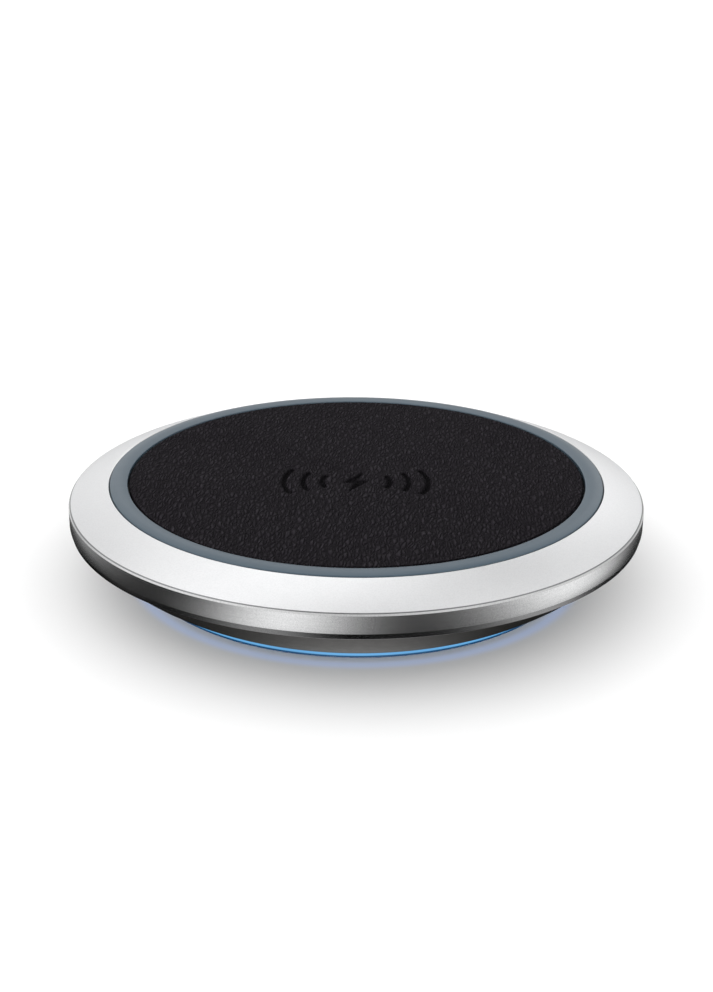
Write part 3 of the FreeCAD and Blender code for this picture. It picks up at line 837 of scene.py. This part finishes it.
class Sky(Nodes):
    """The world's nodes."""

    def __init__(self, tree):
        super().__init__(tree)
        self.ray = self.node("ShaderNodeTexCoord").outputs["Generated"]

    def facing(self, azimuth, elevation):
        """1 towards a direction, 0 square to it."""
        made = self.node("ShaderNodeVectorMath", {"operation": "DOT_PRODUCT"}, _0=self.ray,
                         _1=direction(azimuth, elevation))
        return made.outputs["Value"]

    def patch(self, azimuth, elevation, half_width, outside, inside):
        """A soft-edged round patch: one value inside it and another outside."""
        inner = math.cos(math.radians(half_width * 0.5))
        outer = math.cos(math.radians(half_width * 1.4))
        share = self.node("ShaderNodeMapRange", {"interpolation_type": "SMOOTHSTEP"},
                          Value=self.facing(azimuth, elevation), _1=outer, _2=inner, _3=outside, _4=inside)
        return share.outputs[0]

    def choice(self, share, first, second):
        """A number between two, by share."""
        return self.node("ShaderNodeMix", _0=share, _2=first, _3=second).outputs[0]

    def studio(self):
        """The softboxes and flags that gloss reflects."""
        level = ROOM_LEVEL
        for azimuth, elevation, half_width, more in SOFTBOXES:
            level = self.math("ADD", self.patch(azimuth, elevation, half_width, 0.0, more), level)
        for azimuth, elevation, half_width, taken in FLAGS:
            level = self.math("MULTIPLY", self.patch(azimuth, elevation, half_width, 1.0, 1.0 - taken), level)
        return level

    def room(self):
        """The light that matte surfaces see."""
        height = self.node("ShaderNodeSeparateXYZ", _0=self.ray).outputs["Z"]
        low_down = self.between(height, HORIZON_LEVEL, ZENITH_LEVEL)
        beside = self.between(self.facing(SIDE_AZIMUTH, SIDE_ELEVATION), 0.0, SIDE_LEVEL, 0.3, 1.0)
        return self.math("ADD", low_down, beside)


def world():
    """Studio light: gloss sees the softboxes, matte surfaces see the room, and the camera sees pale grey."""
    made = bpy.data.worlds.new("studio")
    bpy.context.scene.world = made
    made.use_nodes = True
    made.node_tree.nodes.clear()
    sky = Sky(made.node_tree)
    path = sky.node("ShaderNodeLightPath").outputs
    lit = sky.choice(path["Is Glossy Ray"], sky.room(), sky.studio())
    seen = sky.choice(path["Is Camera Ray"], lit, 1.0)
    background = sky.node("ShaderNodeBackground", Strength=seen).outputs[0]
    sky.node("ShaderNodeOutputWorld", Surface=background)


RAKE_AZIMUTH, RAKE_ELEVATION, RAKE_SPREAD, RAKE_STRENGTH = -92, 12, 10, 7.5


def raking_lamp(cover):
    """A low soft lamp on the left that lights only the hide and brings out its relief."""
    lamp = bpy.data.lights.new("raking_lamp", "SUN")
    lamp.energy, lamp.angle = RAKE_STRENGTH, math.radians(RAKE_SPREAD)
    made = bpy.data.objects.new("raking_lamp", lamp)
    made.rotation_euler = direction(RAKE_AZIMUTH, RAKE_ELEVATION).to_track_quat("Z", "Y").to_euler()
    lit = bpy.data.collections.new("lit_by_raking_lamp")
    lit.objects.link(cover)
    made.light_linking.receiver_collection = lit
    bpy.context.scene.collection.objects.link(made)


# Bright streaks of the reflector card: azimuth on the band and half-width, both in degrees, and level.
STREAKS = ((-12.5, 8.2, 0.98), (42, 11.5, 1.0), (-65, 10, 0.27), (-89, 8, 0.82), (85, 8.5, 0.62),
           (127, 11, 0.4), (-127, 11, 0.4))
DARK = 0.004                # level between the streaks
# The card's height, the outer radius of each of its zones and the radii of its rings, in millimetres.
CARD_HEIGHT = -0.05
DISH_ZONE, LIP_ZONE, BAND_ZONE, CARD_REACH = 50.5, 64.0, 160.0, 8000.0
CARD_RINGS = (36.0, 42.0, 46.0, 50.0, 52.0, 56.0, 60.0, 63.0, 68.0, 80.0, 100.0, 150.0, 170.0, 400.0,
              CARD_REACH)
LIP_SPREAD, BAND_SPREAD = 1.15, 1.42    # azimuth on the card over the azimuth where the metal shows it
FRONT_LEVEL, FRONT_WIDTH = 0.62, 15     # the dish's zone is bright at the front and, wider, at the back
BACK_LEVEL, BACK_WIDTH = 0.3, 40
LIP_LEVEL, LIP_REACH, LIP_GAP = 0.42, 58, 19    # the lip's streaks: level, how far round, dark front
FAR_LEVEL = 0.72


def hump(away, half_width):
    """1 in the middle, falling smoothly to 0 on both sides."""
    return math.exp(-(away / half_width) ** 2 / 2)


def streak_level(azimuth):
    """Brightness of the streaks at an azimuth of the band."""
    return DARK + sum(level * hump(azimuth - at, wide) for at, wide, level in STREAKS)


def card_level(radius, azimuth):
    """Brightness of the card: the dish's gloss sees its first zone, the lip's the next, then the band's."""
    if radius < DISH_ZONE:
        before = FRONT_LEVEL * hump(azimuth, FRONT_WIDTH)
        behind = BACK_LEVEL * hump(180 - abs(azimuth), BACK_WIDTH)
        return before + behind + DARK
    if radius < LIP_ZONE:
        beside = math.exp(-(azimuth / LIP_REACH) ** 6) * (1 - math.exp(-(azimuth / LIP_GAP) ** 2))
        return LIP_LEVEL * streak_level(azimuth / LIP_SPREAD) * beside
    if radius < BAND_ZONE:
        return streak_level(azimuth / BAND_SPREAD)
    return FAR_LEVEL


def reflector_card():
    """Striped card under the floor line, seen only in gloss, where it stands in for the floor."""
    turns = 240
    points, levels = [], []
    for radius in CARD_RINGS:
        for index in range(turns):
            azimuth = 360 * index / turns - 180
            way = direction(azimuth, 0)
            points.append((way.x * radius, way.y * radius, CARD_HEIGHT))
            levels.append(card_level(radius, azimuth))
    mesh = mesh_of("reflector_card", points, strip_faces(len(CARD_RINGS), turns))
    mesh.attributes.new("level", "FLOAT", "POINT").data.foreach_set("value", levels)
    look = Look("card", Base_Color=(0.0, 0.0, 0.0), Specular_IOR_Level=0.0, Emission_Color=(1.0, 1.0, 1.0))
    look.set("Emission_Strength", look.attribute("level"))
    mesh.materials.append(look.material)
    made = bpy.data.objects.new("reflector_card", mesh)
    bpy.context.scene.collection.objects.link(made)
    made.visible_camera = False
    made.visible_diffuse = False
    made.visible_transmission = False
    made.visible_shadow = False


CAMERA_DISTANCE = 263.5     # from the middle of the leather's face, in millimetres
CAMERA_ELEVATION = math.radians(21.05)
CAMERA_ROLL = math.radians(0.467)
CAMERA_LENS, CAMERA_SHIFT = 54.4, -0.0235


def camera():
    """The photographer's view: from the front, a little above, on a moderately long lens."""
    data = bpy.data.cameras.new("camera")
    made = bpy.data.objects.new("camera", data)
    bpy.context.scene.collection.objects.link(made)
    data.lens, data.sensor_width = CAMERA_LENS, 36.0
    data.shift_y = CAMERA_SHIFT
    data.clip_start, data.clip_end = 0.01, 50
    back = Vector((0, -math.cos(CAMERA_ELEVATION), math.sin(CAMERA_ELEVATION)))
    made.location = Vector((0, 0, PAD_TOP * MM)) + back * CAMERA_DISTANCE * MM
    turned = (-back).to_track_quat("-Z", "Y").to_matrix() @ Matrix.Rotation(CAMERA_ROLL, 3, "Z")
    made.rotation_euler = turned.to_euler()
    bpy.context.scene.camera = made


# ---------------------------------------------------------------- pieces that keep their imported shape

# Finish of each: its name, dark and light tone, roughness range, and share of metal.
STEEL = ((0.50, 0.51, 0.52), (0.66, 0.67, 0.68), (0.20, 0.32), 1.0)
FILM = ((0.50, 0.44, 0.30), (0.62, 0.56, 0.40), (0.35, 0.50), 0.0)
BLACK = ((0.012, 0.012, 0.013), (0.024, 0.024, 0.026), (0.38, 0.52), 0.0)
CARRIED = {
    "case_screws": ("black_nickel", (0.10, 0.10, 0.11), (0.20, 0.20, 0.21), (0.25, 0.40), 1.0),
    "board_screws": ("screw_steel", *STEEL),
    "usb_shell": ("drawn_steel", *STEEL),
    "usb_tongue": ("tongue_black", *BLACK),
    "usb_contacts": ("contact_gold", (0.72, 0.50, 0.18), (0.90, 0.66, 0.28), (0.18, 0.30), 1.0),
    "leather_adhesive": ("leather_film", *FILM),
    "bezel_adhesive": ("bezel_film", *FILM),
    "coil_adhesive": ("coil_film", *FILM),
    "coil_leads": ("lead_enamel", (0.42, 0.16, 0.06), (0.62, 0.26, 0.11), (0.28, 0.42), 0.6),
    "heat_spreader": ("spreader_foil", (0.60, 0.61, 0.62), (0.78, 0.785, 0.79), (0.28, 0.45), 1.0),
    "thermistor": ("bead_black", *BLACK),
    "thermal_pad": ("pad_silicone", (0.30, 0.38, 0.46), (0.42, 0.50, 0.58), (0.55, 0.75), 0.0),
    "controller_chip": ("chip_black", *BLACK),
    "power_transistors": ("transistor_black", *BLACK),
    "resonant_capacitors": ("capacitor_tan", (0.34, 0.22, 0.12), (0.50, 0.36, 0.22), (0.40, 0.55), 0.0),
    "filter_inductor": ("inductor_grey", (0.10, 0.10, 0.11), (0.17, 0.17, 0.18), (0.55, 0.72), 0.0),
    "small_passives": ("passive_tan", (0.20, 0.17, 0.14), (0.42, 0.36, 0.30), (0.35, 0.50), 0.0),
    "led_strip": ("strip_white", (0.70, 0.70, 0.68), (0.82, 0.82, 0.80), (0.35, 0.48), 0.0),
    "status_leds": ("led_lens", (0.60, 0.72, 0.84), (0.74, 0.84, 0.92), (0.15, 0.25), 0.0),
    "led_wires": ("wire_jacket", (0.50, 0.04, 0.03), (0.64, 0.07, 0.05), (0.35, 0.50), 0.0),
}


def dress_packed_pieces():
    """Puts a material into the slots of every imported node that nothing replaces."""
    finishes = {node: plain_look(*finish) for node, finish in CARRIED.items()}
    finishes.update({
        "upper_housing": moulded_black(),
        "base_plate": moulded_black(),
        "foot_ring": foot_rubber(),
        "ferrite_shield": ferrite(),
        "circuit_board": circuit_board(),
    })
    for node, material in finishes.items():
        for own in frame["nodes"][node].material_slots:
            own.link = "OBJECT"
            own.material = material


floor()
world()
reflector_card()
camera()
raking_lamp(leather_pad())
grip_ring()
bezel_ring()
dish()
light_ring()
coil_winding()
dress_packed_pieces()

bpy.context.scene.view_settings.view_transform = "Standard"
